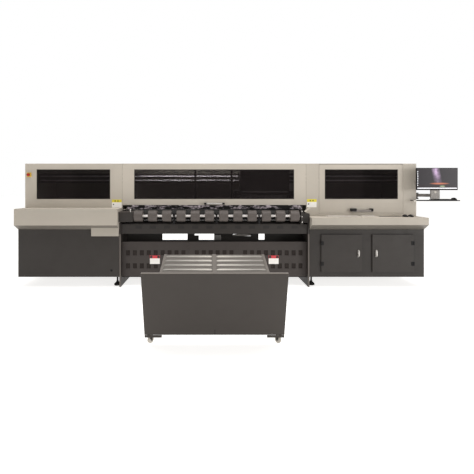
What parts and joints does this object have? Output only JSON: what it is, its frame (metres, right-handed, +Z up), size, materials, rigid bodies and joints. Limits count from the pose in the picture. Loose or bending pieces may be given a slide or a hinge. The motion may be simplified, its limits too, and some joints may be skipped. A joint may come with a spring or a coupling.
{
  "type": "flatbed uv printer",
  "caption": "Wide flatbed UV printer: dark cabinets, light covers with tinted windows, a row of delivery rollers, a desk console, a monitor arm and a rolling stacking cart.",
  "frame": {"origin": "on the floor under the middle of the whole object: printer, monitor arm and stacking cart", "axes": "+X along the machine to the right of a person facing its front, +Y to its rear, +Z up"},
  "size_m": [5.98, 3.14, 1.685],
  "materials": {
    "cover_paint": "fine powder coat, warm light grey",
    "cabinet_paint": "fine powder coat, charcoal",
    "frame_paint": "powder coat, dark grey",
    "vent_paint": "powder coat, brown grey",
    "tinted_glass": "dark tinted, polished",
    "rubber": "ground rubber, dark warm grey",
    "dark_rubber": "moulded rubber, black",
    "steel": "brushed",
    "aluminium": "satin",
    "belt_cloth": "woven-faced belt, perforated",
    "black_plastic": "fine texture",
    "silver_plastic": "silver paint",
    "sign_yellow": "safety yellow",
    "sign_red": "safety red",
    "deck_steel": "satin pressed sheet",
    "panel_paint": "powder coat, brown grey",
    "wheel_plastic": "pale moulded nylon"
  },
  "bodies": {
    "machine": {"base_frame": "frame_paint", "foot_front_left": "dark_rubber", "foot_front_right": "dark_rubber", "foot_rear_left": "dark_rubber", "foot_rear_right": "dark_rubber", "front_beam": "frame_paint", "vent_panel_left": "vent_paint", "vent_panel_middle": "vent_paint", "vent_panel_right": "vent_paint", "left_cabinet": "cabinet_paint", "right_cabinet": "cabinet_paint", "left_console": "cover_paint", "right_console": "cover_paint", "left_cover": "cover_paint", "left_window": "tinted_glass", "right_cover": "cover_paint", "middle_cover": "cover_paint", "e_stop_plate": "sign_yellow", "bearing_post_1": "black_plastic", "bearing_post_2": "black_plastic", "bearing_post_3": "black_plastic", "drive_box": "frame_paint", "end_box": "frame_paint", "vacuum_table": "aluminium", "transport_belt": "belt_cloth", "guide_beam": "frame_paint", "linear_rail_lower": "steel", "linear_rail_upper": "steel", "monitor_bracket": "black_plastic"},
    "lid": {"lid": "cover_paint", "lid_window": "tinted_glass", "lid_handle": "steel"},
    "access_door": {"access_door": "cover_paint", "access_window": "tinted_glass", "access_handle": "silver_plastic"},
    "cabinet_door_left": {"cabinet_door_left": "cabinet_paint"},
    "cabinet_door_right": {"cabinet_door_right": "cabinet_paint"},
    "e_stop_button": {"e_stop_button": "sign_red"},
    "delivery_rollers": {"roller_set_1": "rubber", "roller_set_2": "rubber", "roller_set_3": "rubber", "roller_set_4": "rubber"},
    "belt_drive_drum": {"belt_drive_drum": "aluminium"},
    "belt_idler_drum": {"belt_idler_drum": "aluminium"},
    "carriage": {"carriage": "frame_paint"},
    "print_heads": {"print_head_block": "aluminium", "uv_lamp_left": "black_plastic", "uv_lamp_right": "black_plastic"},
    "monitor_arm": {"monitor_arm": "silver_plastic", "keyboard_shelf": "black_plastic"},
    "monitor": {"monitor": "black_plastic"},
    "cart": {"cart_frame": "panel_paint", "cart_panel": "panel_paint", "cart_deck": "deck_steel"},
    "caster_left": {"caster_fork_left": "frame_paint"},
    "caster_right": {"caster_fork_right": "frame_paint"},
    "front_wheel_left": {"front_wheel_left": "wheel_plastic"},
    "front_wheel_right": {"front_wheel_right": "wheel_plastic"},
    "rear_wheel_left": {"rear_wheel_left": "wheel_plastic"},
    "rear_wheel_right": {"rear_wheel_right": "wheel_plastic"}
  },
  "joints": [
    {"name": "lid_hinge", "type": "hinge", "parent": "machine", "child": "lid", "pos_m": [-0.34, 0.848, 1.685], "axis": [-1, 0, 0], "range_deg": [0, 50]},
    {"name": "access_door_hinge", "type": "hinge", "parent": "machine", "child": "access_door", "pos_m": [1.7155, 0.56, 1.6765], "axis": [-1, 0, 0], "range_deg": [0, 80]},
    {"name": "cabinet_door_left_hinge", "type": "hinge", "parent": "machine", "child": "cabinet_door_left", "pos_m": [1.094, 0.3567, 0.464], "axis": [0, 0, -1], "range_deg": [0, 110]},
    {"name": "cabinet_door_right_hinge", "type": "hinge", "parent": "machine", "child": "cabinet_door_right", "pos_m": [2.344, 0.3567, 0.464], "axis": [0, 0, 1], "range_deg": [0, 110]},
    {"name": "e_stop_press", "type": "slide", "parent": "machine", "child": "e_stop_button", "axis": [0, 1, 0], "range_m": [0, 0.006], "stiffness_N_per_m": 1500, "springref_m": -0.004},
    {"name": "belt_drive_spin", "type": "hinge", "parent": "machine", "child": "belt_drive_drum", "pos_m": [-0.34, 0.61, 0.964], "axis": [1, 0, 0], "continuous": true},
    {"name": "belt_idler_spin", "type": "hinge", "parent": "machine", "child": "belt_idler_drum", "pos_m": [-0.34, 1.45, 0.964], "axis": [1, 0, 0], "continuous": true},
    {"name": "delivery_roller_spin", "type": "hinge", "parent": "machine", "child": "delivery_rollers", "pos_m": [-0.311, 0.414, 0.964], "axis": [1, 0, 0], "continuous": true},
    {"name": "carriage_travel", "type": "slide", "parent": "machine", "child": "carriage", "axis": [1, 0, 0], "range_m": [-2.88, 1.62]},
    {"name": "print_head_lift", "type": "slide", "parent": "carriage", "child": "print_heads", "axis": [0, 0, 1], "range_m": [-0.045, 0]},
    {"name": "monitor_arm_swivel", "type": "hinge", "parent": "machine", "child": "monitor_arm", "pos_m": [2.514, 0.601, 1.24], "axis": [0, 0, 1], "range_deg": [0, 90]},
    {"name": "monitor_tilt", "type": "hinge", "parent": "monitor_arm", "child": "monitor", "pos_m": [2.68, 0.432, 1.464], "axis": [-1, 0, 0], "range_deg": [0, 15]},
    {"name": "cart_roll", "type": "slide", "parent": "machine", "child": "cart", "axis": [0, 1, 0], "range_m": [-0.5, 1.2]},
    {"name": "caster_swivel_left", "type": "hinge", "parent": "cart", "child": "caster_left", "pos_m": [-0.927, -1.361, 0.09], "axis": [0, 0, 1], "continuous": true},
    {"name": "front_wheel_spin_left", "type": "hinge", "parent": "caster_left", "child": "front_wheel_left", "pos_m": [-0.91672, -1.34874, 0.032], "axis": [0.766, -0.6428, 0], "continuous": true},
    {"name": "rear_wheel_spin_left", "type": "hinge", "parent": "cart", "child": "rear_wheel_left", "pos_m": [-0.812, -1.02, 0.032], "axis": [1, 0, 0], "continuous": true},
    {"name": "caster_swivel_right", "type": "hinge", "parent": "cart", "child": "caster_right", "pos_m": [0.203, -1.361, 0.09], "axis": [0, 0, 1], "continuous": true},
    {"name": "front_wheel_spin_right", "type": "hinge", "parent": "caster_right", "child": "front_wheel_right", "pos_m": [0.19189, -1.34949, 0.032], "axis": [0.7193, 0.6947, 0], "continuous": true},
    {"name": "rear_wheel_spin_right", "type": "hinge", "parent": "cart", "child": "rear_wheel_right", "pos_m": [0.088, -1.02, 0.032], "axis": [1, 0, 0], "continuous": true}
  ],
  "couplings": [
    {"joint": "belt_idler_spin", "follows": "belt_drive_spin", "ratio": 1},
    {"joint": "delivery_roller_spin", "follows": "belt_drive_spin", "ratio": 0.97733},
    {"joint": "rear_wheel_spin_left", "follows": "cart_roll", "rad_per_m": -32.258},
    {"joint": "rear_wheel_spin_right", "follows": "cart_roll", "rad_per_m": -32.258}
  ]
}
